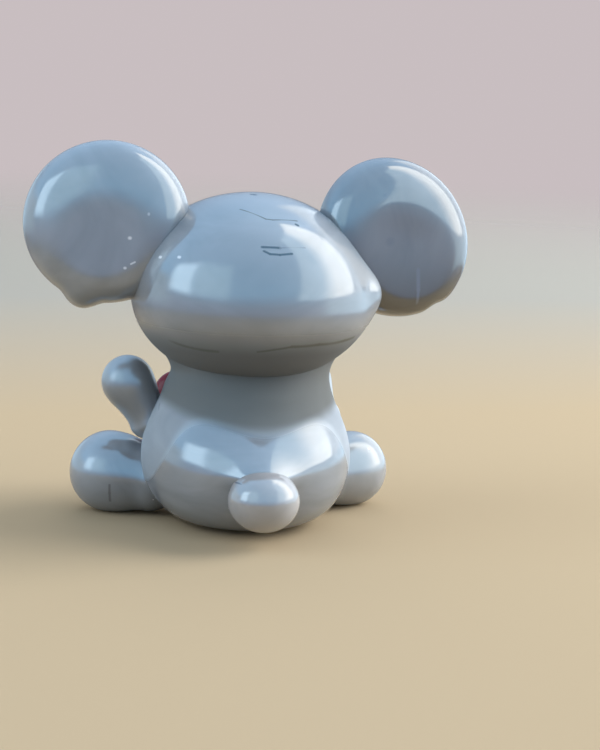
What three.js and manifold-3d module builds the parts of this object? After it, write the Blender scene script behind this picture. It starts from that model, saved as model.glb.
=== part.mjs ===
// Sitting koala figurine of torch-worked glass: one paw holds a red glass heart and the other is raised.
//
// Each piece is one gather of opaque glass that the maker shaped hot and set on the piece before it.
// Millimetres and degrees, +Z up. The koala faces -Y and its left side is +X.
// The origin is the middle of the pressed flat that the body stands on.

import * as THREE from "three";
import { mergeVertices } from "three/addons/utils/BufferGeometryUtils.js";
import Module from "manifold-3d";

// Seam: gathers that touch on the figurine stay this far apart here.
const SEAM_GAP = 0.15;

// Body: a pear-shaped gather, fuller behind than in front, with a neck that flares to a collar.
// Depths are measured to the front and to the back from the upright line through the base.
const BASE_RADIUS = 3.4;
const BELLY_HALF_WIDTH = 7.4;
const BELLY_DEPTH = 6.8;
const RUMP_DEPTH = 8.2;
const BELLY_HEIGHT = 4.5;
const NECK_HALF_WIDTH = 5.8;
const NECK_HALF_DEPTH = 4.7;
const NAPE_DEPTH = 3.6;
const NECK_HEIGHT = 10.4;
const COLLAR_RADIUS = 6.9;
const COLLAR_HEIGHT = 12.4;

// Head: a wide dome with a shallow rounded jaw that closes on the collar.
const HEAD_HALF_WIDTH = 8.6;
const HEAD_HALF_DEPTH = 8.0;
const HEAD_DOME = 7.45;
const HEAD_JAW = 3.45;

// Ears: thick oval discs, dished in front, rounded off behind and cupped a little forward.
// Each oval's long way drops outwards by the tilt.
const EAR_LONG_RADIUS = { left: 5.8, right: 6 };
const EAR_SHORT_RADIUS = { left: 5.62, right: 5.42 };
const EAR_TILT_ANGLE = { left: 17, right: 39 };
const EAR_THICKNESS = 3.6;
const EAR_RIM = 2.1;
const EAR_DISH = 0.45;
const EAR_BACK_ROUND = { left: 3.4, right: 2.4 };
const EAR_CUP_ANGLE = 13;
const EAR_OVERLAP = { left: 2.63, right: 3.16 };
const EAR_RISE_ANGLE = { left: 28.9, right: 24.8 };

// Ear nub: the lump at each ear's lower edge where the hot rod was pulled away.
const NUB_RADIUS = 1.5;
const NUB_PROUD = { left: 0.5, right: 0.2 };
const NUB_ANGLE = { left: 18, right: 45 };

// Inner ears: pale pads pressed into the front dish of each ear.
const PAD_RADIUS = 3.6;
const PAD_THICKNESS = 1.2;
const PAD_SUNK = 0.3;

// Arms: short tapered limbs with a round paw. The left one is raised and the right one reaches forward.
const ARM_ROOT_RADIUS = 1.75;
const ARM_WAIST_RADIUS = 1.4;
const PAW_RADIUS = { left: 1.87, right: 1.95 };
const ARM_REACH = { left: 3.1, right: 5.4 };
const SHOULDER_HEIGHT = { left: 6.9, right: 6.6 };
const SHOULDER_ANGLE = { left: 72, right: 56 };
const ARM_SPREAD_ANGLE = { left: 86, right: 2 };
const ARM_LIFT_ANGLE = { left: 59.5, right: 19.5 };

// Legs: egg-shaped limbs that lie out to the sides and rest on the table.
const LEG_ROOT_RADIUS = 2.4;
const FOOT_RADIUS = { left: 2.92, right: 2.75 };
const FOOT_FLAT_DEPTH = 0.12;
const LEG_REACH = 2.9;
const HIP_HEIGHT = 2.5;
const LEG_ANGLE = { left: 68, right: 61 };

// Tail: a round bead on the lower back, set a little to the left.
const TAIL_RADIUS = 2.4;
const TAIL_PROUD = 2.9;
const TAIL_HEIGHT = 3.25;
const TAIL_SHIFT = 0.25;

// Face: a tall oval nose and two round eyes, each with a white glint.
// The nose sits below the head's widest ring and the eyes above it.
const NOSE_HALF_WIDTH = 1.75;
const NOSE_HALF_HEIGHT = 2.35;
const NOSE_HALF_DEPTH = 1.3;
const NOSE_DROP = 0.45;
const EYE_RADIUS = 0.95;
const EYE_HALF_DEPTH = 0.6;
const EYE_SPACING = 7.4;
const EYE_RISE = 1.45;
const GLINT_RADIUS = 0.32;
const GLINT_OFFSET = 0.35;

// Heart: a puffed heart that leans on the belly beside the right paw.
const HEART_HALF_WIDTH = 5.6;
const HEART_HALF_HEIGHT = 3.7;
const HEART_LIFT = 2.6;
const HEART_THICKNESS = 3.6;
const HEART_HEIGHT = 5.2;
const HEART_SUNK = 0.6;
const HEART_LEAN_ANGLE = 4;

// Facets: steps along each curve of a profile, and sides of each revolved piece.
const CURVE_STEPS = 5;
const BODY_SIDES = 40;
const EAR_SIDES = 36;
const LIMB_SIDES = 24;
const DOT_SIDES = 16;

const SIDES = { left: 1, right: -1 };
const radians = THREE.MathUtils.degToRad;

const wasm = await Module();
wasm.setup();

// Glass

function glass(colour, roughness) {
  return new THREE.MeshStandardMaterial({ color: colour, roughness, metalness: 0 });
}

const GREY_GLASS = glass(0x868b90, 0.08);
const PALE_GLASS = glass(0xcbbfbc, 0.1);
const BLACK_GLASS = glass(0x101114, 0.06);
const WHITE_GLASS = glass(0xe7e7e4, 0.1);
const RED_GLASS = glass(0xa02026, 0.06);

// Solids

// A closed geometry as a solid: shared corners are merged and flat triangles are left out.
function solidOf(geometry) {
  const bare = geometry.clone();
  bare.deleteAttribute("normal");
  bare.deleteAttribute("uv");
  const merged = mergeVertices(bare, 1e-4);
  const corners = [];
  for (let i = 0; i < merged.index.count; i += 3) {
    const [a, b, c] = [0, 1, 2].map((k) => merged.index.getX(i + k));
    if (a !== b && b !== c && c !== a) corners.push(a, b, c);
  }
  const vertProperties = merged.attributes.position.array;
  const triVerts = new Uint32Array(corners);
  return new wasm.Manifold(new wasm.Mesh({ numProp: 3, vertProperties, triVerts }));
}

function geometryOf(solid) {
  const { vertProperties, triVerts } = solid.getMesh();
  const geometry = new THREE.BufferGeometry();
  geometry.setAttribute("position", new THREE.BufferAttribute(vertProperties, 3));
  geometry.setIndex(new THREE.BufferAttribute(triVerts, 1));
  geometry.computeVertexNormals();
  return geometry;
}

// The geometry with every corner pushed out along its normal.
function grown(geometry, by) {
  const bigger = geometryOf(solidOf(geometry));
  const { position, normal } = bigger.attributes;
  for (let i = 0; i < position.count; i++) {
    position.setXYZ(
      i,
      position.getX(i) + by * normal.getX(i),
      position.getY(i) + by * normal.getY(i),
      position.getZ(i) + by * normal.getZ(i),
    );
  }
  return bigger;
}

// A profile of radius against height, turned about the Z axis.
function revolved(profile, sides) {
  return new THREE.LatheGeometry(profile.getPoints(CURVE_STEPS), sides).rotateX(Math.PI / 2);
}

// A piece of glass in the figurine. Its whole shape is kept for the pieces that are set on it later.
function piece(name, geometry, material) {
  const mesh = new THREE.Mesh(geometry, material);
  mesh.name = name;
  mesh.userData.whole = geometry;
  return mesh;
}

// Cuts a piece back to where its neighbours' surfaces are, less the seam.
function seat(mesh, ...neighbours) {
  koala.updateMatrixWorld(true);
  const toMesh = mesh.matrixWorld.clone().invert();
  let solid = solidOf(mesh.geometry);
  for (const neighbour of neighbours) {
    const tool = grown(neighbour.userData.whole, SEAM_GAP);
    solid = solid.subtract(solidOf(tool.applyMatrix4(neighbour.matrixWorld).applyMatrix4(toMesh)));
  }
  mesh.geometry = geometryOf(solid);
}

// Cuts a piece off flat at the table.
function standOnTable(mesh) {
  koala.updateMatrixWorld(true);
  const size = 4 * BELLY_HALF_WIDTH;
  const below = new THREE.BoxGeometry(size, size, size).translate(0, 0, -size / 2);
  const at = new THREE.Vector3().setFromMatrixPosition(mesh.matrixWorld);
  below.translate(at.x, at.y, 0).applyMatrix4(mesh.matrixWorld.clone().invert());
  mesh.geometry = geometryOf(solidOf(mesh.geometry).subtract(solidOf(below)));
}

// Turns a mesh so that its Z axis points along a direction.
function aim(mesh, direction) {
  mesh.quaternion.setFromUnitVectors(new THREE.Vector3(0, 0, 1), direction.clone().normalize());
}

// Body

const HEAD_FLATTENING = HEAD_HALF_DEPTH / HEAD_HALF_WIDTH;
const COLLAR_HALF_DEPTH = COLLAR_RADIUS * HEAD_FLATTENING;

// How far the skin is from the upright line at a height: out over the belly, in to the neck, out again.
function bodyReach(height, belly, neck, collar) {
  if (height < BELLY_HEIGHT) {
    const below = 1 - height / BELLY_HEIGHT;
    return BASE_RADIUS + (belly - BASE_RADIUS) * Math.sqrt(1 - below * below);
  }
  if (height < NECK_HEIGHT) {
    return THREE.MathUtils.lerp(belly, neck, THREE.MathUtils.smoothstep(height, BELLY_HEIGHT, NECK_HEIGHT));
  }
  const flare = (height - NECK_HEIGHT) / (COLLAR_HEIGHT - NECK_HEIGHT);
  return neck + (collar - neck) * flare * flare;
}

// A spot of a drum of radius 1, drawn out to the body's width and depth at its height.
function drawnOut(across, back, height) {
  const depth = back > 0 ? RUMP_DEPTH : BELLY_DEPTH;
  const neckDepth = back > 0 ? NAPE_DEPTH : NECK_HALF_DEPTH;
  return new THREE.Vector3(
    across * bodyReach(height, BELLY_HALF_WIDTH, NECK_HALF_WIDTH, COLLAR_RADIUS),
    back * bodyReach(height, depth, neckDepth, COLLAR_HALF_DEPTH),
    height,
  );
}

// A point on the body's skin: turn is measured from straight ahead, outwards.
function onBody(side, turn, height) {
  const angle = radians(turn);
  return drawnOut(side * Math.sin(angle), -Math.cos(angle), height);
}

function bodyGeometry() {
  const profile = new THREE.Path();
  profile.moveTo(0, 0);
  for (let step = 0; step < CURVE_STEPS; step++) {
    profile.lineTo(1, BELLY_HEIGHT * (1 - Math.cos(((step / CURVE_STEPS) * Math.PI) / 2)));
  }
  for (let step = 0; step < CURVE_STEPS; step++) {
    profile.lineTo(1, THREE.MathUtils.lerp(BELLY_HEIGHT, NECK_HEIGHT, step / CURVE_STEPS));
  }
  for (let step = 0; step <= CURVE_STEPS; step++) {
    profile.lineTo(1, THREE.MathUtils.lerp(NECK_HEIGHT, COLLAR_HEIGHT, step / CURVE_STEPS));
  }
  profile.lineTo(0, COLLAR_HEIGHT);
  const geometry = revolved(profile, BODY_SIDES);
  const { position } = geometry.attributes;
  for (let i = 0; i < position.count; i++) {
    const spot = drawnOut(position.getX(i), position.getY(i), position.getZ(i));
    position.setXYZ(i, spot.x, spot.y, spot.z);
  }
  return geometry;
}

// Head

const HEAD_MIDDLE = COLLAR_HEIGHT + HEAD_JAW;
const JAW_CLOSES = Math.acos(COLLAR_RADIUS / HEAD_HALF_WIDTH);
const JAW_HALF_HEIGHT = HEAD_JAW / Math.sin(JAW_CLOSES);

// The head's own middle is the height of its widest ring.
function headGeometry() {
  const profile = new THREE.Path();
  profile.moveTo(0, SEAM_GAP - HEAD_JAW);
  profile.lineTo(COLLAR_RADIUS, SEAM_GAP - HEAD_JAW);
  profile.absellipse(0, 0, HEAD_HALF_WIDTH, JAW_HALF_HEIGHT, -JAW_CLOSES, 0, false);
  profile.absellipse(0, 0, HEAD_HALF_WIDTH, HEAD_DOME, 0, Math.PI / 2, false);
  return revolved(profile, BODY_SIDES).scale(1, HEAD_FLATTENING, 1);
}

// A point on the face, up from the head's widest ring, and the direction that the skin looks there.
function onFace(across, up) {
  const halfHeight = up > 0 ? HEAD_DOME : JAW_HALF_HEIGHT;
  const share = 1 - (across / HEAD_HALF_WIDTH) ** 2 - (up / halfHeight) ** 2;
  const point = new THREE.Vector3(across, -HEAD_HALF_DEPTH * Math.sqrt(share), HEAD_MIDDLE + up);
  const outward = new THREE.Vector3(
    across / HEAD_HALF_WIDTH ** 2,
    point.y / HEAD_HALF_DEPTH ** 2,
    up / halfHeight ** 2,
  ).normalize();
  return { point, outward };
}

// Ears

// A disc turned about Z with its front at -Z, drawn to an oval along X and then tilted.
function earGeometry(sideName) {
  const half = EAR_THICKNESS / 2;
  const floor = half - EAR_DISH;
  const edge = EAR_LONG_RADIUS[sideName];
  const crest = edge - EAR_RIM;
  const round = EAR_BACK_ROUND[sideName];
  const profile = new THREE.Path();
  profile.moveTo(0, -floor);
  profile.bezierCurveTo(crest / 2, -floor, crest / 2, -half, crest, -half);
  profile.absellipse(crest, 0, EAR_RIM, half, -Math.PI / 2, 0, false);
  profile.absellipse(edge - round, 0, round, half, 0, Math.PI / 2, false);
  profile.lineTo(0, half);
  const oval = revolved(profile, EAR_SIDES)
    .scale(1, EAR_SHORT_RADIUS[sideName] / edge, 1)
    .rotateZ(SIDES[sideName] * radians(EAR_TILT_ANGLE[sideName]));
  return geometryOf(solidOf(oval).add(solidOf(nubGeometry(sideName))));
}

// The nub sits on the ear's lower rim, turned a little outwards from straight down.
function nubGeometry(sideName) {
  const fromLongWay = radians(90 - EAR_TILT_ANGLE[sideName] - NUB_ANGLE[sideName]);
  const rim = 1 / Math.hypot(
    Math.cos(fromLongWay) / EAR_LONG_RADIUS[sideName],
    Math.sin(fromLongWay) / EAR_SHORT_RADIUS[sideName],
  );
  return new THREE.SphereGeometry(NUB_RADIUS, DOT_SIDES, DOT_SIDES / 2)
    .translate(0, NUB_RADIUS - NUB_PROUD[sideName] - rim, 0)
    .rotateZ(-radians(NUB_ANGLE[sideName]) * SIDES[sideName]);
}

// The pad's own Z axis is the ear's, and it shows on the front.
function padGeometry() {
  const profile = new THREE.Path();
  profile.moveTo(0, -PAD_THICKNESS / 2);
  profile.absellipse(0, 0, PAD_RADIUS, PAD_THICKNESS / 2, -Math.PI / 2, Math.PI / 2, false);
  return revolved(profile, LIMB_SIDES);
}

// An ear's group stands at the disc's middle, with Z through the disc to the back and Y up.
function earGroup(sideName) {
  const side = SIDES[sideName];
  const rise = radians(EAR_RISE_ANGLE[sideName]);
  const beyond = EAR_LONG_RADIUS[sideName] - EAR_OVERLAP[sideName];
  const reachAcross = (HEAD_HALF_WIDTH + beyond) * Math.cos(rise);
  const reachUp = (HEAD_DOME + beyond) * Math.sin(rise);
  const group = new THREE.Group();
  group.position.set(side * reachAcross, 0, HEAD_MIDDLE + reachUp);
  group.rotation.order = "ZXY";
  group.rotation.set(Math.PI / 2, Math.PI, -side * radians(EAR_CUP_ANGLE));
  return group;
}

// Limbs

// A limb grows along Z from a root inside the body to a round end.
function limbGeometry(rootRadius, waistRadius, endRadius, reach, rootDepth) {
  const profile = new THREE.Path();
  profile.moveTo(0, -rootDepth);
  profile.lineTo(rootRadius, -rootDepth);
  profile.lineTo(rootRadius, 0);
  profile.bezierCurveTo(waistRadius, reach / 3, endRadius, reach - endRadius / 2, endRadius, reach);
  profile.absellipse(0, reach, endRadius, endRadius, 0, Math.PI / 2, false);
  return revolved(profile, LIMB_SIDES);
}

function armMesh(sideName) {
  const side = SIDES[sideName];
  const pawRadius = PAW_RADIUS[sideName];
  const reach = ARM_REACH[sideName];
  const geometry = limbGeometry(ARM_ROOT_RADIUS, ARM_WAIST_RADIUS, pawRadius, reach, pawRadius);
  const arm = piece(`${sideName}_arm`, geometry, GREY_GLASS);
  arm.position.copy(onBody(side, SHOULDER_ANGLE[sideName], SHOULDER_HEIGHT[sideName]));
  const spread = radians(ARM_SPREAD_ANGLE[sideName]);
  const lift = radians(ARM_LIFT_ANGLE[sideName]);
  aim(
    arm,
    new THREE.Vector3(
      side * Math.sin(spread) * Math.cos(lift),
      -Math.cos(spread) * Math.cos(lift),
      Math.sin(lift),
    ),
  );
  return arm;
}

function legMesh(sideName) {
  const side = SIDES[sideName];
  const footRadius = FOOT_RADIUS[sideName];
  const hip = onBody(side, LEG_ANGLE[sideName], HIP_HEIGHT);
  const outward = new THREE.Vector3(hip.x, hip.y, 0).normalize();
  const foot = hip.clone().addScaledVector(outward, LEG_REACH);
  foot.z = footRadius - FOOT_FLAT_DEPTH;
  const along = foot.clone().sub(hip);
  const geometry = limbGeometry(LEG_ROOT_RADIUS, LEG_ROOT_RADIUS, footRadius, along.length(), footRadius);
  const leg = piece(`${sideName}_leg`, geometry, GREY_GLASS);
  leg.position.copy(hip);
  aim(leg, along);
  return leg;
}

function tailMesh() {
  const geometry = new THREE.SphereGeometry(TAIL_RADIUS, LIMB_SIDES, LIMB_SIDES / 2);
  const tail = piece("tail", geometry, GREY_GLASS);
  const skin = onBody(SIDES.left, 180, TAIL_HEIGHT);
  tail.position.set(SIDES.left * TAIL_SHIFT, skin.y + TAIL_PROUD - TAIL_RADIUS, TAIL_HEIGHT);
  return tail;
}

// Face

// A domed dot of glass set on the face, with its Z axis out of the skin and Y up the face.
function faceDot(name, halfWidth, halfHeight, halfDepth, spot, material) {
  const geometry = new THREE.SphereGeometry(1, DOT_SIDES, DOT_SIDES / 2);
  geometry.scale(halfWidth, halfHeight, halfDepth);
  const dot = piece(name, geometry, material);
  dot.position.copy(spot.point);
  dot.up.set(0, 0, 1);
  dot.lookAt(spot.point.clone().add(spot.outward));
  return dot;
}

// The glint stands on the upper outer part of the eye's dome and rides on the eye.
function glintMesh(name, side) {
  const slide = GLINT_OFFSET / EYE_RADIUS;
  const spot = new THREE.Vector3(side * slide, slide, Math.sqrt(1 - 2 * slide * slide));
  const geometry = new THREE.SphereGeometry(GLINT_RADIUS, DOT_SIDES, DOT_SIDES / 2);
  const glint = piece(name, geometry, WHITE_GLASS);
  glint.position.set(EYE_RADIUS * spot.x, EYE_RADIUS * spot.y, EYE_HALF_DEPTH * spot.z);
  return glint;
}

// Heart

// A flattened bead whose sides are lifted: the lift leaves a tip below and a cleft above.
function heartGeometry() {
  const geometry = new THREE.SphereGeometry(1, LIMB_SIDES, LIMB_SIDES / 2);
  const { position } = geometry.attributes;
  for (let i = 0; i < position.count; i++) {
    const across = position.getX(i);
    position.setXYZ(
      i,
      HEART_HALF_WIDTH * across,
      (HEART_THICKNESS / 2) * position.getY(i),
      HEART_HALF_HEIGHT * position.getZ(i) + HEART_LIFT * Math.abs(across),
    );
  }
  return geometry;
}

// The heart stands against the belly with its back just in the skin.
function heartMesh() {
  const heart = piece("heart", heartGeometry(), RED_GLASS);
  const skin = onBody(SIDES.left, 0, HEART_HEIGHT);
  heart.position.set(0, skin.y - HEART_THICKNESS / 2 + HEART_SUNK, HEART_HEIGHT);
  heart.rotation.x = -radians(HEART_LEAN_ANGLE);
  return heart;
}

// Assembly: each gather is set on the ones before it.

const koala = new THREE.Group();

const body = piece("body", bodyGeometry(), GREY_GLASS);
koala.add(body);

const head = piece("head", headGeometry(), GREY_GLASS);
head.position.z = HEAD_MIDDLE;
koala.add(head);

for (const sideName of Object.keys(SIDES)) {
  const group = earGroup(sideName);
  const ear = piece(`${sideName}_ear`, earGeometry(sideName), GREY_GLASS);
  const pad = piece(`${sideName}_inner_ear`, padGeometry(), PALE_GLASS);
  pad.position.z = -(EAR_THICKNESS / 2 - EAR_DISH) - PAD_THICKNESS / 2 + PAD_SUNK;
  group.add(ear, pad);
  koala.add(group);
  seat(ear, head);
  seat(pad, ear, head);
}

const tail = tailMesh();
koala.add(tail);
seat(tail, body);

const legs = Object.keys(SIDES).map(legMesh);
koala.add(...legs);
for (const leg of legs) {
  seat(leg, body);
  standOnTable(leg);
}

const arms = Object.keys(SIDES).map(armMesh);
koala.add(...arms);
for (const arm of arms) seat(arm, body, ...legs);

const heart = heartMesh();
koala.add(heart);
seat(heart, body, head, ...arms);

const noseSpot = onFace(0, -NOSE_DROP);
const nose = faceDot("nose", NOSE_HALF_WIDTH, NOSE_HALF_HEIGHT, NOSE_HALF_DEPTH, noseSpot, BLACK_GLASS);
koala.add(nose);
seat(nose, head);

for (const [sideName, side] of Object.entries(SIDES)) {
  const spot = onFace((side * EYE_SPACING) / 2, EYE_RISE);
  const eye = faceDot(`${sideName}_eye`, EYE_RADIUS, EYE_RADIUS, EYE_HALF_DEPTH, spot, BLACK_GLASS);
  const glint = glintMesh(`${sideName}_eye_glint`, side);
  eye.add(glint);
  koala.add(eye);
  seat(eye, head);
  seat(glint, eye);
}

export default koala;
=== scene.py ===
import math

import bmesh
import bpy
from mathutils import Matrix, Vector, noise


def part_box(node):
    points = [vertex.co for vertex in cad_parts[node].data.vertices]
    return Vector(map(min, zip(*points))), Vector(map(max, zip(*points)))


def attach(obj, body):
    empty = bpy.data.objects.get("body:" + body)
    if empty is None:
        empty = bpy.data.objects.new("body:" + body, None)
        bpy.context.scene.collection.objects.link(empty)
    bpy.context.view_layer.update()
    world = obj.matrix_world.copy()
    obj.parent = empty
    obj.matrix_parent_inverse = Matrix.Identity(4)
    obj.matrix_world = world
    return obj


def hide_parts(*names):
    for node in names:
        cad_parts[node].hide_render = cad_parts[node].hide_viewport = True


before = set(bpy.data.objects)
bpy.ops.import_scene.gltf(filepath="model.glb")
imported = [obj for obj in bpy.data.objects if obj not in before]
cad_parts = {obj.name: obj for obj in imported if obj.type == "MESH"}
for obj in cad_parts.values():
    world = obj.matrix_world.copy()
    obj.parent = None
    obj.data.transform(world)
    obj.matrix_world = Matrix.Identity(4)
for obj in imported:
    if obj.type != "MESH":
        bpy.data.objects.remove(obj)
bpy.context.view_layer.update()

# Body
# The sitting body is one pear-shaped gather of opaque grey glass, worked in the flame and pressed flat below.
# It is fuller behind than in front, and its drawn-in neck flares again to a collar under the head.

MM = 0.001
body_low, body_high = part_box("body")
head_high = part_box("head")[1]
tail_low, tail_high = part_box("tail")
BASE_RADIUS = 3.4 * MM
BELLY_HALF_WIDTH = body_high.x
BELLY_DEPTH = -body_low.y
RUMP_DEPTH = body_high.y
RUMP_ROUND = 3.75 * MM
BACK_SLOPE = math.radians(48)
RUMP_RISE = RUMP_ROUND * math.sin(BACK_SLOPE)
SLOPE_SOFT = 0.9 * MM
NAPE_DEPTH = 3.0 * MM
NAPE_ROUND = 2.4 * MM
NAPE_STARTS = 7.3 * MM
NAPE_RISE = 2.4 * MM
RIDGE_SLOPE = math.radians(50)
RIDGE_HALF_WIDTH = 1.9 * MM
RIDGE_ENDS = (3.6 * MM, 5.0 * MM)
RIDGE_FADE = 0.5
BELLY_HEIGHT = 4.5 * MM
NECK_HALF_WIDTH = 5.8 * MM
NECK_HALF_DEPTH = 4.7 * MM
NECK_HEIGHT = 10.4 * MM
COLLAR_RADIUS = 6.9 * MM
COLLAR_HALF_DEPTH = COLLAR_RADIUS * head_high.y / head_high.x
COLLAR_HEIGHT = body_high.z
FLANK_FULLNESS = 1.35
NOTCH_DEPTH = 0.42 * MM
NOTCH_STARTS = 9.6 * MM
NOTCH_RISE = 1.4 * MM
NOTCH_EDGE = 0.2
HAND_WAVER = 0.05 * MM
HAND_STRIDE = (7.3, 3.1, 5.7)
HAND_SEED = 5
noise.seed_set(HAND_SEED)
TAIL_RADIUS = 2.4 * MM
TAIL_MIDDLE = Vector(((tail_low.x + tail_high.x) / 2, tail_high.y - TAIL_RADIUS, tail_high.z - TAIL_RADIUS))

# Shares of the way up the body's skin at which the base, the belly, the neck and the collar end.
BASE_ENDS = 0.08
BELLY_ENDS = 0.38
NECK_ENDS = 0.70
COLLAR_ENDS = 0.94


def smooth(share):
    share = min(1.0, max(0.0, share))
    return share * share * (3 - 2 * share)


def mix(first, second, share):
    return first + (second - first) * share


# A point moved a little by slow noise, as glass that was rolled and pressed by hand is never quite true.
# The seed takes another stretch of the noise for each piece.
def by_hand(point, seed, strength, reach=5.5 * MM):
    place = point / reach + Vector([stride * seed for stride in HAND_STRIDE])
    return point + strength * noise.noise_vector(place)


# A closed skin of glass. The spot function gives the points round each of its rings,
# from one closed end to the other.
def glass_skin(name, spot, around, along):
    skin = bmesh.new()
    start = skin.verts.new(spot(0.0, 0.0))
    rings = []
    for step in range(1, along):
        ring = [skin.verts.new(spot(2 * math.pi * side / around, step / along)) for side in range(around)]
        rings.append(ring)
    end = skin.verts.new(spot(0.0, 1.0))
    for side in range(around):
        following = (side + 1) % around
        skin.faces.new((start, rings[0][following], rings[0][side]))
        skin.faces.new((end, rings[-1][side], rings[-1][following]))
        for lower, upper in zip(rings, rings[1:]):
            skin.faces.new((lower[side], lower[following], upper[following], upper[side]))
    bmesh.ops.recalc_face_normals(skin, faces=skin.faces)
    mesh = bpy.data.meshes.new(name)
    skin.to_mesh(mesh)
    skin.free()
    mesh.shade_smooth()
    piece = bpy.data.objects.new(name, mesh)
    bpy.context.scene.collection.objects.link(piece)
    rounding = piece.modifiers.new("rounding", "SUBSURF")
    rounding.levels = 1
    rounding.render_levels = 1
    return piece


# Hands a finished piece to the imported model: the node that it stands for, and the glass that it is made of.
def fuse_on(piece, node, glass):
    piece.data.materials.append(glass)
    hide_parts(node)
    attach(piece, "root")


# How far the skin is from the upright line at a height: out over the belly, in to the neck, out again.
def body_reach(height, belly, neck, collar):
    if height < BELLY_HEIGHT:
        below = 1 - height / BELLY_HEIGHT
        return mix(BASE_RADIUS, belly, math.sqrt(1 - below * below))
    if height < NECK_HEIGHT:
        drawn_in = smooth((height - BELLY_HEIGHT) / (NECK_HEIGHT - BELLY_HEIGHT))
        return mix(belly, neck, drawn_in ** FLANK_FULLNESS)
    flare = (height - NECK_HEIGHT) / (COLLAR_HEIGHT - NECK_HEIGHT)
    return neck + (collar - neck) * flare * flare


# How far back the skin is behind: a round rump, then a straight slope up and in under the head.
def rump_reach(height):
    if height < BELLY_HEIGHT:
        return body_reach(height, RUMP_DEPTH, NECK_HALF_DEPTH, COLLAR_HALF_DEPTH)
    climb = height - BELLY_HEIGHT
    soft = SLOPE_SOFT * smooth(climb / RUMP_RISE)
    up = (climb + RUMP_RISE - math.hypot(climb - RUMP_RISE, soft)) / 2
    rounded = RUMP_DEPTH - RUMP_ROUND + math.sqrt(RUMP_ROUND ** 2 - up ** 2)
    spare = rounded - (climb - up) * math.tan(BACK_SLOPE) - NAPE_DEPTH
    hollow = NAPE_ROUND * smooth((height - NAPE_STARTS) / NAPE_RISE)
    return NAPE_DEPTH + (spare + math.hypot(spare, hollow)) / 2


# A point on the body's skin, turned from the koala's left towards its back.
# On the left the neck is pinched in a little, so that the head overhangs it in a notch.
def on_body(turn, height):
    left = smooth((math.cos(turn) - NOTCH_EDGE) / (1 - NOTCH_EDGE))
    notch = NOTCH_DEPTH * left * smooth((height - NOTCH_STARTS) / NOTCH_RISE)
    across = body_reach(height, BELLY_HALF_WIDTH, NECK_HALF_WIDTH, COLLAR_RADIUS) - notch
    if math.sin(turn) > 0:
        depth = rump_reach(height)
    else:
        depth = body_reach(height, BELLY_DEPTH, NECK_HALF_DEPTH, COLLAR_HALF_DEPTH)
    return Vector((across * math.cos(turn), depth * math.sin(turn), height))


# The soft glass of the body and the tail has run together in a low ridge,
# which goes on down the slope of the back.
def tail_ridge(point):
    slope_starts = BELLY_HEIGHT + RUMP_RISE
    if point.z > slope_starts:
        return 0.0
    crest = rump_reach(slope_starts) + (slope_starts - point.z) * math.tan(RIDGE_SLOPE)
    aside = (point.x - TAIL_MIDDLE.x) / RIDGE_HALF_WIDTH
    fade = smooth((point.z - RIDGE_ENDS[0]) / (RIDGE_ENDS[1] - RIDGE_ENDS[0]))
    return max(0.0, crest - rump_reach(point.z)) * fade * math.exp(-aside * aside)


# The body's skin as it came from the hand.
def worked_body(turn, height, waver):
    point = on_body(turn, height)
    if point.y > 0 and height < NECK_HEIGHT:
        point.y += tail_ridge(point) * smooth(math.sin(turn) / RIDGE_FADE)
    return by_hand(point, seed=1, strength=waver)


def body_spot(turn, rise):
    if rise < BASE_ENDS:
        return on_body(turn, 0.0) * (rise / BASE_ENDS)
    if rise < BELLY_ENDS:
        angle = (rise - BASE_ENDS) / (BELLY_ENDS - BASE_ENDS) * math.pi / 2
        height = BELLY_HEIGHT * (1 - math.cos(angle))
        return worked_body(turn, height, HAND_WAVER * smooth(height / BELLY_HEIGHT))
    if rise < NECK_ENDS:
        share = (rise - BELLY_ENDS) / (NECK_ENDS - BELLY_ENDS)
        return worked_body(turn, mix(BELLY_HEIGHT, NECK_HEIGHT, share), HAND_WAVER)
    if rise < COLLAR_ENDS:
        share = (rise - NECK_ENDS) / (COLLAR_ENDS - NECK_ENDS)
        return worked_body(turn, mix(NECK_HEIGHT, COLLAR_HEIGHT, share), HAND_WAVER)
    edge = worked_body(turn, COLLAR_HEIGHT, HAND_WAVER)
    share = (1 - rise) / (1 - COLLAR_ENDS)
    return Vector((edge.x * share, edge.y * share, mix(COLLAR_HEIGHT, edge.z, share)))


# Feeds a node's input from another node's output, or sets it to a plain value.
def feed(socket, source):
    if isinstance(source, bpy.types.NodeSocket):
        socket.id_data.links.new(source, socket)
    else:
        socket.default_value = source


# One operation on up to three values.
def maths(nodes, operation, *terms):
    node = nodes.new("ShaderNodeMath")
    node.operation = operation
    for socket, term in zip(node.inputs, terms):
        feed(socket, term)
    return node.outputs["Value"]


# One operation on up to two vectors. The node is given back, as its result may be a vector or a value.
def vector_maths(nodes, operation, *terms):
    node = nodes.new("ShaderNodeVectorMath")
    node.operation = operation
    for socket, term in zip(node.inputs, terms):
        feed(socket, term)
    return node


# A value taken from one range to another.
def spread(nodes, value, start, end, low=0.0, high=1.0, easing="LINEAR"):
    node = nodes.new("ShaderNodeMapRange")
    node.interpolation_type = easing
    ranges = {"Value": value, "From Min": start, "From Max": end, "To Min": low, "To Max": high}
    for name, source in ranges.items():
        feed(node.inputs[name], source)
    return node.outputs["Result"]


# A mask that eases from 0 at the start to 1 at the end, which may be the lower of the two.
def eased(nodes, value, start, end):
    return spread(nodes, value, start, end, easing="SMOOTHSTEP")


# Colours along a value, from stops that are each a value and a colour.
def colour_ramp(nodes, value, stops):
    node = nodes.new("ShaderNodeValToRGB")
    ramp = node.color_ramp.elements
    ramp.remove(ramp[1])
    ramp[0].position, ramp[0].color = stops[0]
    for position, colour in stops[1:]:
        ramp.new(position).color = colour
    feed(node.inputs["Fac"], value)
    return node.outputs["Color"]


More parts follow.
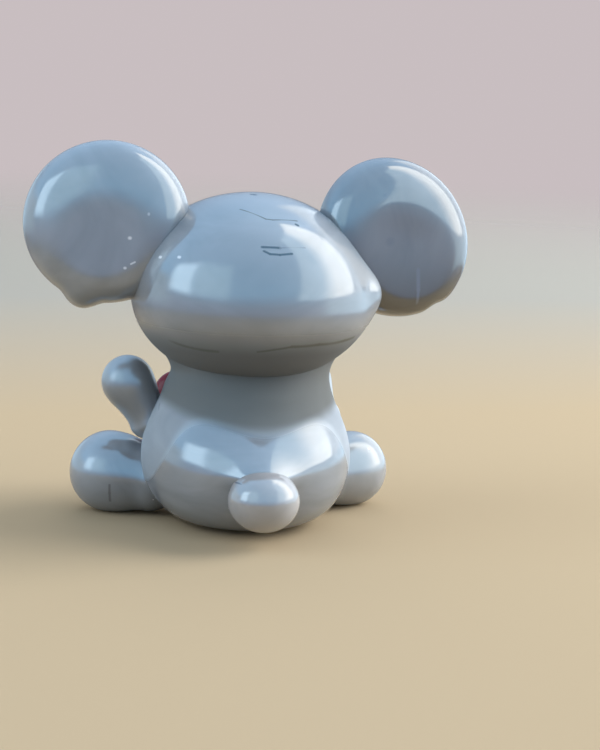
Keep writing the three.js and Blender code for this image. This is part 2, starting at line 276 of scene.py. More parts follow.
# One colour laid over another by a mask.
def laid_over(nodes, mask, under, over):
    node = nodes.new("ShaderNodeMix")
    node.data_type = "RGBA"
    for name, source in {"Factor": mask, "A": under, "B": over}.items():
        feed(node.inputs[name], source)
    return node.outputs["Result"]


# A node group for an effect: vectors and values go in, and values that change over the surface come out.
def effect_group(name, vectors, values, results):
    group = bpy.data.node_groups.new(name, "ShaderNodeTree")
    for socket in vectors:
        group.interface.new_socket(socket, in_out="INPUT", socket_type="NodeSocketVector")
    for socket in values:
        group.interface.new_socket(socket, in_out="INPUT", socket_type="NodeSocketFloat")
    for socket in results:
        group.interface.new_socket(socket, in_out="OUTPUT", socket_type="NodeSocketFloat")
    inside = group.nodes.new("NodeGroupInput").outputs
    outside = group.nodes.new("NodeGroupOutput").inputs
    return group, inside, outside


# An effect placed in a material with its own values.
def effect(nodes, group, **inputs):
    node = nodes.new("ShaderNodeGroup")
    node.node_tree = group
    for name, source in inputs.items():
        feed(node.inputs[name], source)
    return node.outputs


# Melt streaks: the cloudy winding that the rod leaves in soft glass, and the slow ripple of its skin.
def melt_streaks_group():
    group, inside, outside = effect_group("melt_streaks", ["Place", "Winding"], [], ["Cloud", "Ripple"])
    wound = vector_maths(group.nodes, "MULTIPLY", inside["Place"], inside["Winding"])
    cloud = group.nodes.new("ShaderNodeTexNoise")
    cloud.inputs["Scale"].default_value = 1.0
    cloud.inputs["Detail"].default_value = 3.0
    cloud.inputs["Roughness"].default_value = 0.55
    cloud.inputs["Distortion"].default_value = 0.9
    feed(cloud.inputs["Vector"], wound.outputs["Vector"])
    ripple = group.nodes.new("ShaderNodeTexNoise")
    ripple.inputs["Scale"].default_value = 420.0
    ripple.inputs["Detail"].default_value = 1.0
    feed(ripple.inputs["Vector"], inside["Place"])
    feed(outside["Cloud"], cloud.outputs["Fac"])
    feed(outside["Ripple"], ripple.outputs["Fac"])
    return group


# Dust: the few pale grains that stick to a handled piece, one in some of the cells of a fine grid.
GRAIN_EDGE = 0.07
GRAIN_FULL = 0.03


def dust_group():
    group, inside, outside = effect_group("dust", ["Place"], ["Share"], ["Grain"])
    cells = group.nodes.new("ShaderNodeTexVoronoi")
    cells.inputs["Scale"].default_value = 620.0
    feed(cells.inputs["Vector"], inside["Place"])
    pick = group.nodes.new("ShaderNodeSeparateColor")
    feed(pick.inputs["Color"], cells.outputs["Color"])
    chosen = maths(group.nodes, "LESS_THAN", pick.outputs["Red"], inside["Share"])
    dot = eased(group.nodes, cells.outputs["Distance"], GRAIN_EDGE, GRAIN_FULL)
    feed(outside["Grain"], maths(group.nodes, "MULTIPLY", dot, chosen))
    return group


# Mark: a soft-edged line in the skin between two points, such as a cold seam, a tool mark, a stain or painted
# shade in a crease.
# Its edge and its full colour are shares of its width.
MARK_EDGE = 0.6
MARK_FULL = 0.1


def mark_group():
    group, inside, outside = effect_group("mark", ["Place", "From", "To"], ["Width"], ["Line"])
    nodes = group.nodes
    offset = vector_maths(nodes, "SUBTRACT", inside["Place"], inside["From"]).outputs["Vector"]
    run = vector_maths(nodes, "SUBTRACT", inside["To"], inside["From"]).outputs["Vector"]
    along = vector_maths(nodes, "DOT_PRODUCT", offset, run).outputs["Value"]
    length = vector_maths(nodes, "DOT_PRODUCT", run, run).outputs["Value"]
    share = maths(nodes, "DIVIDE", along, length)
    share.node.use_clamp = True
    foot = vector_maths(nodes, "SCALE", run)
    feed(foot.inputs["Scale"], share)
    away = vector_maths(nodes, "DISTANCE", offset, foot.outputs["Vector"]).outputs["Value"]
    ratio = maths(nodes, "DIVIDE", away, inside["Width"])
    feed(outside["Line"], eased(nodes, ratio, MARK_EDGE, MARK_FULL))
    return group


MELT_STREAKS = melt_streaks_group()
DUST = dust_group()
MARK = mark_group()
GREY_DARK = (0.185, 0.200, 0.215, 1.0)
GREY_LIGHT = (0.255, 0.272, 0.290, 1.0)
SOOT = (0.012, 0.013, 0.008, 1.0)
OLIVE = (0.050, 0.047, 0.026, 1.0)
# The colour of the painted shade.
PAINTED_SHADE_COLOUR = (0.080, 0.074, 0.062, 1.0)
STAIN = (0.120, 0.127, 0.140, 1.0)
CHALK = (0.62, 0.63, 0.64, 1.0)
DUST_COLOUR = (0.80, 0.80, 0.78, 1.0)
GLASS_BEND = 1.95
GLOW_DEPTH = 0.8 * MM
RIPPLE_DEPTH = 0.014 * MM
STREAK_DARK = 0.30
STREAK_LIGHT = 0.72
POLISH_RANGE = (0.3, 0.7)
FIRE_POLISHED = (0.05, 0.08)
TOUCHED = (0.14, 0.18)
BREATHED = (0.28, 0.34)
SATIN = 0.8
GRAIN_DULL = 0.5


# A mask by height for painted shade and for a dulled satin skin, from the height at which it begins to the
# one where it is full.
# To both sides its edge rises by the square of the distance, and further out falls by its fourth power.
def shade_and_satin_reach(nodes, place, begins, full, rises=0.0, falls=0.0):
    split = nodes.new("ShaderNodeSeparateXYZ")
    feed(split.inputs["Vector"], place)
    square = maths(nodes, "MULTIPLY", split.outputs["X"], split.outputs["X"])
    bow = maths(nodes, "MULTIPLY_ADD", square, falls, -rises)
    height = maths(nodes, "MULTIPLY_ADD", bow, square, split.outputs["Z"])
    return eased(nodes, height, begins, full)


# Opaque soft glass. The winding is how often the streaks repeat in a metre along each axis.
# Each mark has a start, an end, a width and a colour.
# Painted shade is colour darkened where shade falls, under the head and low on an ear, and satin is where the
# flame has dulled the skin.
# Both are given as for the height mask above. Gloss is the least and the most roughness.
def soft_glass(
    name, dark, light, winding, marks=(), dust=0.05,
    painted_shade=None, satin=None, gloss=FIRE_POLISHED, bend=GLASS_BEND,
):
    glass = bpy.data.materials.new(name)
    glass.use_nodes = True
    nodes = glass.node_tree.nodes
    shader = nodes["Principled BSDF"]
    shader.inputs["IOR"].default_value = bend
    shader.inputs["Subsurface Weight"].default_value = 0.2
    shader.inputs["Subsurface Radius"].default_value = (1.0, 1.0, 1.0)
    shader.inputs["Subsurface Scale"].default_value = GLOW_DEPTH
    place = nodes.new("ShaderNodeTexCoord").outputs["Object"]
    streaks = effect(nodes, MELT_STREAKS, Place=place, Winding=winding)
    colour = colour_ramp(nodes, streaks["Cloud"], [(STREAK_DARK, dark), (STREAK_LIGHT, light)])
    if painted_shade:
        # Painted shade: the colour is darkened by the height mask where shade falls.
        colour = laid_over(nodes, shade_and_satin_reach(nodes, place, *painted_shade), colour, PAINTED_SHADE_COLOUR)
    for start, end, width, stain in marks:
        mark = effect(nodes, MARK, Place=place, From=start, To=end, Width=width)
        colour = laid_over(nodes, mark["Line"], colour, stain)
    grain = effect(nodes, DUST, Place=place, Share=dust)["Grain"]
    feed(shader.inputs["Base Color"], laid_over(nodes, grain, colour, DUST_COLOUR))
    polish = spread(nodes, streaks["Cloud"], *POLISH_RANGE, *gloss)
    roughness = maths(nodes, "MULTIPLY_ADD", grain, GRAIN_DULL, polish)
    if satin:
        roughness = maths(nodes, "MULTIPLY_ADD", shade_and_satin_reach(nodes, place, *satin), SATIN, roughness)
    feed(shader.inputs["Roughness"], roughness)
    ripple = nodes.new("ShaderNodeBump")
    ripple.inputs["Strength"].default_value = 1.0
    ripple.inputs["Distance"].default_value = RIPPLE_DEPTH
    feed(ripple.inputs["Height"], streaks["Ripple"])
    feed(shader.inputs["Normal"], ripple.outputs["Normal"])
    return glass


BODY_MARKS = (
    (Vector((6.24, 0.60, 8.35)) * MM, Vector((6.28, 0.95, 8.05)) * MM, 0.40 * MM, STAIN),
    (Vector((-0.68, 4.70, 10.68)) * MM, Vector((-0.74, 4.70, 10.70)) * MM, 0.28 * MM, CHALK),
    (Vector((3.58, 3.92, 11.10)) * MM, Vector((3.54, 3.95, 11.08)) * MM, 0.26 * MM, CHALK),
)
# Painted shade: the neck is darkened under the overhanging head, less towards the sides.
BODY_PAINTED_SHADE = (7.0 * MM, 8.1 * MM, 30.0)
BODY_SATIN = (6.85 * MM, 7.8 * MM, 95.0, 3.5e6)
BODY_GLASS = soft_glass(
    "grey_glass_body", GREY_DARK, GREY_LIGHT, winding=(130.0, 130.0, 320.0),
    marks=BODY_MARKS, painted_shade=BODY_PAINTED_SHADE, satin=BODY_SATIN,
)
body = glass_skin("body_glass", body_spot, around=128, along=96)
fuse_on(body, "body", BODY_GLASS)

# Head
# A wide dome of the same grey glass with a shallow jaw, melted on to the collar of the neck.
# The jaw is slimmer under the left ear, and a bead of weld stands out where the right ear is fused on.

HEAD_JAW = 3.45 * MM
HEAD_HALF_WIDTH = head_high.x
HEAD_HALF_DEPTH = head_high.y
HEAD_MIDDLE = COLLAR_HEIGHT + HEAD_JAW
HEAD_DOME = head_high.z - HEAD_MIDDLE
JAW_HALF_HEIGHT = HEAD_JAW / math.sqrt(1 - (COLLAR_RADIUS / HEAD_HALF_WIDTH) ** 2)
JAW_SLIMMED = 0.32 * MM
SLIM_BELOW = 2 * MM
SLIM_RISE = 6 * MM
SLIM_POWER = 1.5
BEAD_MIDDLE = Vector((-8.35, 2.30, 16.70)) * MM
BEAD_OUT = Vector((-0.92, 0.38, 0.0))
BEAD_PROUD = 0.75 * MM
BEAD_SPREAD = Vector((1.2, 1.2, 1.8)) * MM


def head_spot(turn, rise):
    slope = (rise - 0.5) * math.pi
    half = HEAD_DOME if slope > 0 else JAW_HALF_HEIGHT
    across = math.cos(slope) * math.cos(turn)
    point = Vector((
        HEAD_HALF_WIDTH * across,
        HEAD_HALF_DEPTH * math.cos(slope) * math.sin(turn),
        HEAD_MIDDLE + half * math.sin(slope),
    ))
    low = 1 - smooth((point.z - HEAD_MIDDLE + SLIM_BELOW) / SLIM_RISE)
    bead = math.exp(-sum(((point[i] - BEAD_MIDDLE[i]) / BEAD_SPREAD[i]) ** 2 for i in range(3)))
    point.x -= JAW_SLIMMED * low * max(0.0, across) ** SLIM_POWER
    return by_hand(point + BEAD_OUT * BEAD_PROUD * bead, seed=1, strength=HAND_WAVER)


# A point on the back of the head, from its distance to the koala's left and its height in millimetres.
def behind_head(left, height):
    half = HEAD_DOME if height * MM > HEAD_MIDDLE else JAW_HALF_HEIGHT
    across = left * MM / HEAD_HALF_WIDTH
    upward = (height * MM - HEAD_MIDDLE) / half
    back = HEAD_HALF_DEPTH * math.sqrt(max(0.0, 1 - across * across - upward * upward))
    return Vector((left * MM, back, height * MM))


# A chain of marks through points on the back of the head.
def head_line(points, width, colour):
    spots = [behind_head(*point) for point in points]
    return [(start, end, width * MM, colour) for start, end in zip(spots, spots[1:])]


# The first three chains run along the back of the jaw where the head is fused on. They are partly a dark weld
# seam and partly painted shade in the crease under the jaw.
HEAD_MARKS = head_line([(-6.6, 13.72), (-5.66, 13.61), (-3.6, 13.56), (-1.62, 13.50)], 0.34, OLIVE)
HEAD_MARKS += head_line([(-1.62, 13.50), (-0.4, 13.30), (0.67, 13.13)], 0.26, OLIVE)
HEAD_MARKS += head_line([(3.3, 12.98), (4.88, 13.05), (6.35, 13.34)], 0.38, OLIVE)
HEAD_MARKS += head_line([(0.30, 23.22), (0.16, 23.20)], 0.46, SOOT)
HEAD_MARKS += head_line([(1.55, 22.40), (-0.03, 21.86), (-0.50, 21.81), (-2.23, 21.73)], 0.15, OLIVE)
HEAD_MARKS += head_line([(-2.10, 21.52), (-2.22, 21.46)], 0.28, SOOT)
HEAD_MARKS += head_line([(0.52, 20.15), (-0.70, 20.10)], 0.24, SOOT)
HEAD_MARKS += head_line([(-0.70, 20.10), (-2.49, 20.08)], 0.14, STAIN)
HEAD_MARKS += head_line([(0.42, 19.91), (0.03, 19.72), (-0.65, 19.67), (-1.50, 19.73)], 0.21, SOOT)
HEAD_MARKS += head_line([(7.54, 16.17), (6.33, 16.19)], 0.16, STAIN)
HEAD_MARKS += head_line([(6.95, 19.04), (6.88, 19.04)], 0.26, CHALK)
HEAD_MARKS += head_line([(5.86, 19.21), (5.78, 19.20)], 0.26, CHALK)
# Painted shade: the head is darkened from its middle down to the jaw, where it shades itself over the neck.
# The same heights dull the skin to satin.
HEAD_PAINTED_SHADE_AND_SATIN = (15.2 * MM, 12.6 * MM)
HEAD_GLASS = soft_glass(
    "grey_glass_head", GREY_DARK, GREY_LIGHT, winding=(120.0, 120.0, 260.0),
    marks=HEAD_MARKS, painted_shade=HEAD_PAINTED_SHADE_AND_SATIN, satin=HEAD_PAINTED_SHADE_AND_SATIN,
)
head = glass_skin("head_glass", head_spot, around=144, along=96)
fuse_on(head, "head", HEAD_GLASS)

# Ears
# Thick oval discs of grey glass, pressed hot, dished in front and rounded over behind.
# They are set edge-on to the head, and a nub is left low on each rim where the rod was pulled away.

SIDES = {"left": 1, "right": -1}
EAR_MIDDLE = {"left": Vector((10.30, 0.0, 20.98)) * MM, "right": Vector((-10.39, 0.0, 20.17)) * MM}
EAR_LONG_RADIUS = {"left": 5.8 * MM, "right": 6.0 * MM}
EAR_SHORT_RADIUS = {"left": 5.62 * MM, "right": 5.42 * MM}
EAR_TILT_ANGLE = {"left": math.radians(17), "right": math.radians(39)}
EAR_HALF_THICKNESS = 1.8 * MM
EAR_RIM = 2.1 * MM
EAR_DISH = 0.45 * MM
EAR_WIDEST = -0.9 * MM
EAR_ROUND_ABOVE = {"left": 4.4 * MM, "right": 3.6 * MM}
EAR_ROUND_BELOW = {"left": 2.4 * MM, "right": 1.8 * MM}
EAR_ROUND_POWER = {"left": 2.25, "right": 2.3}
EAR_BACK_CROWN = {"left": 0.0 * MM, "right": -0.06 * MM}
EAR_WAVER = 0.02 * MM
EAR_CUP_ANGLE = math.radians(13)
# The right ear's greys are darker than the left's as painted shade.
EAR_GREYS_AND_PAINTED_SHADE = {
    "left": (GREY_DARK, GREY_LIGHT),
    "right": ((0.125, 0.132, 0.142, 1.0), (0.170, 0.178, 0.190, 1.0)),
}
# Painted shade: the right ear is darkened further towards its bottom.
EAR_PAINTED_SHADE = {"left": None, "right": (20.6 * MM, 15.6 * MM)}

# Lumps and dips of the rim: the angle outwards from straight down, the height and the half angle in degrees.
EAR_LUMPS = {
    "left": ((17, 0.64 * MM, 17.5),),
    "right": ((46, 0.10 * MM, 11), (31, -0.20 * MM, 10)),
}

# Shares of the way over the ear's skin at which the front dish, the front rim and the back rounding end.
DISH_ENDS = 0.26
FRONT_RIM_ENDS = 0.44
BACK_ROUND_ENDS = 0.76


# An ear's middle and its own axes: across to the koala's right, up, and out of the back.
def ear_place(side_name):
    side = SIDES[side_name]
    back = Vector((side * math.sin(EAR_CUP_ANGLE), math.cos(EAR_CUP_ANGLE), 0.0))
    up = Vector((0.0, 0.0, 1.0))
    return EAR_MIDDLE[side_name], up.cross(back), up, back


def ear_edge(side_name, turn):
    from_long_way = turn - SIDES[side_name] * EAR_TILT_ANGLE[side_name]
    long_share = math.cos(from_long_way) / EAR_LONG_RADIUS[side_name]
    short_share = math.sin(from_long_way) / EAR_SHORT_RADIUS[side_name]
    lump = 0.0
    for angle, height, half_angle in EAR_LUMPS[side_name]:
        off = turn + math.pi / 2 + SIDES[side_name] * math.radians(angle)
        off = math.atan2(math.sin(off), math.cos(off)) / math.radians(half_angle)
        lump += height * max(0.0, 1 - off * off) ** 2
    return 1 / math.hypot(long_share, short_share), lump


def ear_spot(side_name):
    middle, across, up, back = ear_place(side_name)
    half = EAR_HALF_THICKNESS
    power = 2 / EAR_ROUND_POWER[side_name]

    def spot(turn, rise):
        edge, lump = ear_edge(side_name, turn)
        above = 0.5 + 0.5 * math.sin(turn)
        round_width = mix(EAR_ROUND_BELOW[side_name], EAR_ROUND_ABOVE[side_name], above)
        if rise < DISH_ENDS:
            share = rise / DISH_ENDS
            distance = (edge - EAR_RIM) * share
            depth = EAR_DISH * (1 - smooth(share)) - half
        elif rise < FRONT_RIM_ENDS:
            angle = (FRONT_RIM_ENDS - rise) / (FRONT_RIM_ENDS - DISH_ENDS) * math.pi / 2
            distance = edge + lump * math.cos(angle) ** 2 - EAR_RIM * (1 - math.cos(angle))
            depth = mix(EAR_WIDEST, -half, math.sin(angle))
        elif rise < BACK_ROUND_ENDS:
            angle = (rise - FRONT_RIM_ENDS) / (BACK_ROUND_ENDS - FRONT_RIM_ENDS) * math.pi / 2
            distance = edge + lump * math.cos(angle) ** 2 - round_width * (1 - math.cos(angle) ** power)
            depth = mix(EAR_WIDEST, half, math.sin(angle) ** power)
        else:
            share = (1 - rise) / (1 - BACK_ROUND_ENDS)
            distance = (edge - round_width) * share
            depth = half + EAR_BACK_CROWN[side_name] * (1 - share * share) ** 2
        point = middle + across * distance * math.cos(turn) + up * distance * math.sin(turn) + back * depth
        return by_hand(point, seed=4 + SIDES[side_name], strength=EAR_WAVER)

    return spot


# A mark on the back of an ear, from points in its own plane in millimetres.
def ear_mark(side_name, start, end, width, colour):
    middle, across, up, back = ear_place(side_name)
    face = middle + back * EAR_HALF_THICKNESS
    first = face + across * start[0] * MM + up * start[1] * MM
    last = face + across * end[0] * MM + up * end[1] * MM
    return first, last, width * MM, colour


EAR_MARKS = {
    "left": (
        ear_mark("left", (3.16, 0.86), (3.16, 0.90), 0.28, CHALK),
        ear_mark("left", (1.88, -0.80), (1.92, -0.80), 0.30, CHALK),
        ear_mark("left", (1.59, -2.86), (1.63, -2.86), 0.24, CHALK),
        ear_mark("left", (2.01, -2.57), (2.28, -2.43), 0.16, CHALK),
        ear_mark("left", (-1.90, 4.69), (-1.98, 4.69), 0.40, STAIN),
    ),
    "right": (
        ear_mark("right", (-1.45, -0.03), (-1.35, -0.03), 0.80, STAIN),
        ear_mark("right", (0.91, -2.04), (0.98, -3.46), 0.40, STAIN),
        ear_mark("right", (0.98, -3.46), (0.96, -4.74), 0.30, STAIN),
        ear_mark("right", (-1.90, 3.25), (-1.98, 3.25), 0.40, STAIN),
        ear_mark("right", (-1.62, 5.54), (-1.70, 5.54), 0.40, STAIN),
    ),
}

for side_name in SIDES:
    ear_glass = soft_glass(
        "grey_glass_" + side_name + "_ear", *EAR_GREYS_AND_PAINTED_SHADE[side_name], winding=(230.0, 150.0, 150.0),
        marks=EAR_MARKS[side_name], painted_shade=EAR_PAINTED_SHADE[side_name],
    )
    ear = glass_skin(side_name + "_ear_glass", ear_spot(side_name), around=160, along=80)
    fuse_on(ear, side_name + "_ear", ear_glass)

# Inner ears
# Pale pink-white pads of glass, one melted into the front dish of each ear.
# They are pressed in lightly and stay a little domed.

PAD_RADIUS = 3.6 * MM
PAD_HALF_THICKNESS = 0.6 * MM
PAD_SUNK = 0.3 * MM
PAD_WAVER = 0.07 * MM
PAD_DARK = (0.52, 0.44, 0.42, 1.0)
PAD_LIGHT = (0.66, 0.58, 0.55, 1.0)
PAD_GLASS = soft_glass("pale_glass", PAD_DARK, PAD_LIGHT, winding=(260.0, 260.0, 260.0), dust=0.02)


def pad_spot(side_name):
    middle, across, up, back = ear_place(side_name)
    pad_middle = middle - back * (EAR_HALF_THICKNESS - EAR_DISH + PAD_HALF_THICKNESS - PAD_SUNK)

    def spot(turn, rise):
        slope = (rise - 0.5) * math.pi
        distance = PAD_RADIUS * math.cos(slope)
        flat = pad_middle + across * distance * math.cos(turn) + up * distance * math.sin(turn)
        point = flat + back * PAD_HALF_THICKNESS * math.sin(slope)
        return by_hand(point, seed=8 + SIDES[side_name], strength=PAD_WAVER, reach=2.5 * MM)

    return spot


for side_name in SIDES:
    pad = glass_skin(side_name + "_inner_ear_glass", pad_spot(side_name), around=72, along=32)
    fuse_on(pad, side_name + "_inner_ear", PAD_GLASS)

# Tail
# A round bead of grey glass, coloured a little warmer and lighter than the body, dabbed on to the lower back.
# It was so soft that its top has run into the body, and it has sunk a little flat.

TAIL_HALF = Vector((2.45, 2.40, 2.18)) * MM
TAIL_DARK = (0.265, 0.260, 0.260, 1.0)
TAIL_LIGHT = (0.335, 0.328, 0.325, 1.0)


def tail_spot(turn, rise):
    slope = (rise - 0.5) * math.pi
    outward = Vector((math.cos(slope) * math.cos(turn), math.cos(slope) * math.sin(turn), math.sin(slope)))
    point = TAIL_MIDDLE + TAIL_HALF * outward
    return by_hand(point, seed=11, strength=HAND_WAVER, reach=3.5 * MM)


TAIL_MARKS = (
    (Vector((2.28, 8.36, 4.52)) * MM, Vector((2.00, 9.43, 4.62)) * MM, 0.16 * MM, STAIN),
    (Vector((1.76, 9.57, 4.78)) * MM, Vector((1.20, 9.38, 5.28)) * MM, 0.14 * MM, STAIN),
)
TAIL_GLASS = soft_glass(
    "grey_glass_tail", TAIL_DARK, TAIL_LIGHT, winding=(200.0, 200.0, 300.0), marks=TAIL_MARKS
)
tail = glass_skin("tail_glass", tail_spot, around=80, along=56)
fuse_on(tail, "tail", TAIL_GLASS)

# Legs
# Egg-shaped limbs of grey glass, each drawn out of one hot lump and set low on the side of the body.
# The feet rest on the table, and the right leg is painted paler, as painted light from the right.

LEG_ROOT_RADIUS = 2.4 * MM
FOOT_RADIUS = {"left": 2.92 * MM, "right": 2.75 * MM}
FOOT_FLAT = 0.12 * MM
LEG_REACH = 2.9 * MM
HIP_HEIGHT = 2.5 * MM
LEG_ANGLE = {"left": math.radians(68), "right": math.radians(61)}
# The right leg's greys are paler than the rest as painted light from the lamps on the right.
LEG_GREYS_AND_PAINTED_LIGHT = {
    "left": (GREY_DARK, GREY_LIGHT),
    "right": ((0.225, 0.232, 0.236, 1.0), (0.290, 0.297, 0.300, 1.0)),
}
FOOT_SEAM = [Vector(place) * MM for place in ((9.58, -0.54, 2.40), (9.55, -0.68, 1.79), (9.47, -0.98, 1.14))]
FOOT_SEAM_WIDTH = 0.24 * MM
LEG_MARKS = {
    "left": tuple((start, end, FOOT_SEAM_WIDTH, STAIN) for start, end in zip(FOOT_SEAM, FOOT_SEAM[1:])),
    "right": (),
}

# Shares of the way along a limb's skin at which its root and its taper end, and how deep the root is sunk.
ROOT_SUNK = 0.8
ROOT_ENDS = 0.30
TAPER_ENDS = 0.66


# A point on the body's skin for a limb: the angle is measured from straight ahead, outwards.
def limb_root(side, angle, height):
    return on_body(math.atan2(-math.cos(angle), side * math.sin(angle)), height)


# A limb from a root inside the body, through a waist, to a round end.
def limb_spot(root, end, root_radius, waist_radius, end_radius, seed):
    axis = end - root
    reach = axis.length
    turned = axis.to_track_quat("Z", "Y").to_matrix()

    def spot(turn, rise):
        if rise < ROOT_ENDS:
            angle = rise / ROOT_ENDS * math.pi / 2
            radius = root_radius * math.sin(angle)
            along = -ROOT_SUNK * end_radius * math.cos(angle)
        elif rise < TAPER_ENDS:
            share = (rise - ROOT_ENDS) / (TAPER_ENDS - ROOT_ENDS)
            rest = 1 - share
            bend = 3 * rest * rest * share
            swell = 3 * rest * share * share
            radius = rest ** 3 * root_radius + bend * waist_radius + (swell + share ** 3) * end_radius
            along = bend * reach / 3 + swell * (reach - end_radius / 2) + share ** 3 * reach
        else:
            angle = (rise - TAPER_ENDS) / (1 - TAPER_ENDS) * math.pi / 2
            radius = end_radius * math.cos(angle)
            along = reach + end_radius * math.sin(angle)
        point = root + turned @ Vector((radius * math.cos(turn), radius * math.sin(turn), along))
        point = by_hand(point, seed, strength=HAND_WAVER, reach=4.0 * MM)
        point.z = max(point.z, 0.0)
        return point

    return spot


for side_name, side in SIDES.items():
    hip = limb_root(side, LEG_ANGLE[side_name], HIP_HEIGHT)
    outward = Vector((hip.x, hip.y, 0.0)).normalized()
    foot = hip + LEG_REACH * outward
    foot_radius = FOOT_RADIUS[side_name]
    foot.z = foot_radius - FOOT_FLAT
    leg_shape = limb_spot(hip, foot, LEG_ROOT_RADIUS, LEG_ROOT_RADIUS, foot_radius, seed=14 + side)
    leg_glass = soft_glass(
        "grey_glass_" + side_name + "_leg", *LEG_GREYS_AND_PAINTED_LIGHT[side_name], winding=(300.0, 160.0, 160.0),
        marks=LEG_MARKS[side_name], gloss=TOUCHED,
    )
    leg = glass_skin(side_name + "_leg_glass", leg_shape, around=80, along=72)
    fuse_on(leg, side_name + "_leg", leg_glass)

# Arms
# Short limbs of grey glass, pulled thin behind a round paw while hot.
# The left one is raised beside the neck and the right one reaches forward to the heart.

ARM_ROOT_RADIUS = {"left": 1.55 * MM, "right": 1.75 * MM}
ARM_WAIST_RADIUS = {"left": 1.2 * MM, "right": 1.4 * MM}
PAW_RADIUS = {"left": 1.87 * MM, "right": 1.95 * MM}
ARM_REACH = {"left": 3.1 * MM, "right": 5.4 * MM}
SHOULDER_HEIGHT = {"left": 6.9 * MM, "right": 6.6 * MM}
SHOULDER_ANGLE = {"left": math.radians(72), "right": math.radians(56)}
ARM_SPREAD = {"left": math.radians(86), "right": math.radians(2)}
ARM_LIFT = {"left": math.radians(59.5), "right": math.radians(19.5)}

for side_name, side in SIDES.items():
    shoulder = limb_root(side, SHOULDER_ANGLE[side_name], SHOULDER_HEIGHT[side_name])
    aside = ARM_SPREAD[side_name]
    lift = ARM_LIFT[side_name]
    level = Vector((side * math.sin(aside), -math.cos(aside), 0.0)) * math.cos(lift)
    paw = shoulder + ARM_REACH[side_name] * (level + Vector((0.0, 0.0, math.sin(lift))))
    radii = (ARM_ROOT_RADIUS[side_name], ARM_WAIST_RADIUS[side_name], PAW_RADIUS[side_name])
    arm_shape = limb_spot(shoulder, paw, *radii, seed=18 + side)
    arm_glass = soft_glass(
        "grey_glass_" + side_name + "_arm", GREY_DARK, GREY_LIGHT, winding=(220.0, 300.0, 160.0),
        gloss=BREATHED,
    )
    arm = glass_skin(side_name + "_arm_glass", arm_shape, around=72, along=72)
    fuse_on(arm, side_name + "_arm", arm_glass)

# Heart
# A puffed heart of red glass, pressed from a round bead and pinched to its cleft.
# It leans on the belly and is melted to it, beside the right paw.

HEART_HALF_WIDTH = 5.6 * MM
HEART_HALF_HEIGHT = 3.7 * MM
HEART_LIFT = 2.6 * MM
HEART_HALF_THICKNESS = 1.8 * MM
HEART_HEIGHT = 5.2 * MM
HEART_SUNK = 0.6 * MM
HEART_CLEFT = 0.07
HEART_WAVER = 0.06 * MM
HEART_LEAN = Matrix.Rotation(math.radians(-4), 3, "X")
belly_front = on_body(-math.pi / 2, HEART_HEIGHT).y
HEART_MIDDLE = Vector((0.0, belly_front - HEART_HALF_THICKNESS + HEART_SUNK, HEART_HEIGHT))
RED_DARK = (0.12, 0.003, 0.004, 1.0)
RED_LIGHT = (0.20, 0.006, 0.007, 1.0)


def heart_spot(turn, rise):
    slope = math.pi * rise
    across = math.sin(slope) * math.cos(turn)
    lifted = math.hypot(across, HEART_CLEFT) - HEART_CLEFT
    flat = Vector((
        HEART_HALF_WIDTH * across,
        -HEART_HALF_THICKNESS * math.cos(slope),
        HEART_HALF_HEIGHT * math.sin(slope) * math.sin(turn) + HEART_LIFT * lifted,
    ))
    return by_hand(HEART_MIDDLE + HEART_LEAN @ flat, seed=22, strength=HEART_WAVER)


HEART_GLASS = soft_glass(
    "red_glass", RED_DARK, RED_LIGHT, winding=(160.0, 160.0, 220.0), dust=0.03, gloss=TOUCHED, bend=1.3
)
heart = glass_skin("heart_glass", heart_spot, around=112, along=48)
fuse_on(heart, "heart", HEART_GLASS)

# Nose
# A tall domed oval of black glass, touched on from the rod and melted to the middle of the face.
# It has sagged while hot, so it is a little fuller below.

NOSE_HALF_WIDTH = 1.75 * MM
NOSE_HALF_HEIGHT = 2.35 * MM
NOSE_HALF_DEPTH = 1.3 * MM
NOSE_DROP = 0.45 * MM
NOSE_FULLNESS = 0.10
DOT_WAVER = 0.03 * MM
BLACK_DARK = (0.006, 0.006, 0.008, 1.0)
BLACK_LIGHT = (0.016, 0.017, 0.020, 1.0)
BLACK_GLASS = soft_glass("black_glass", BLACK_DARK, BLACK_LIGHT, winding=(400.0, 400.0, 400.0), dust=0.02)


# A point on the face, up from the head's widest ring, and axes there: across, up the face and out of it.
def on_face(across, up):
    half = HEAD_DOME if up > 0 else JAW_HALF_HEIGHT
    share = 1 - (across / HEAD_HALF_WIDTH) ** 2 - (up / half) ** 2
    point = Vector((across, -HEAD_HALF_DEPTH * math.sqrt(share), HEAD_MIDDLE + up))
    out = Vector((across / HEAD_HALF_WIDTH ** 2, point.y / HEAD_HALF_DEPTH ** 2, up / half ** 2)).normalized()
    right = Vector((0.0, 0.0, 1.0)).cross(out).normalized()
    return point, right, out.cross(right), out


# A domed dot of glass on the face, wider below by a share of its width.
def dot_spot(place, half_width, half_height, half_depth, fullness, seed):
    point, right, up, out = place

    def spot(turn, rise):
        slope = (rise - 0.5) * math.pi
        across = math.cos(slope) * math.cos(turn)
        upward = math.cos(slope) * math.sin(turn)
        width = half_width * (1 - fullness * upward)
        flat = point + right * width * across + up * half_height * upward
        return by_hand(flat + out * half_depth * math.sin(slope), seed, strength=DOT_WAVER, reach=2.0 * MM)

    return spot


nose_shape = dot_spot(
    on_face(0.0, -NOSE_DROP), NOSE_HALF_WIDTH, NOSE_HALF_HEIGHT, NOSE_HALF_DEPTH, NOSE_FULLNESS, seed=25
)
nose = glass_skin("nose_glass", nose_shape, around=64, along=40)
fuse_on(nose, "nose", BLACK_GLASS)

# Eyes
# Round dots of black glass, touched on to the face from a thin rod.
# Each has a tiny dot of white glass set up and out on it for a glint.

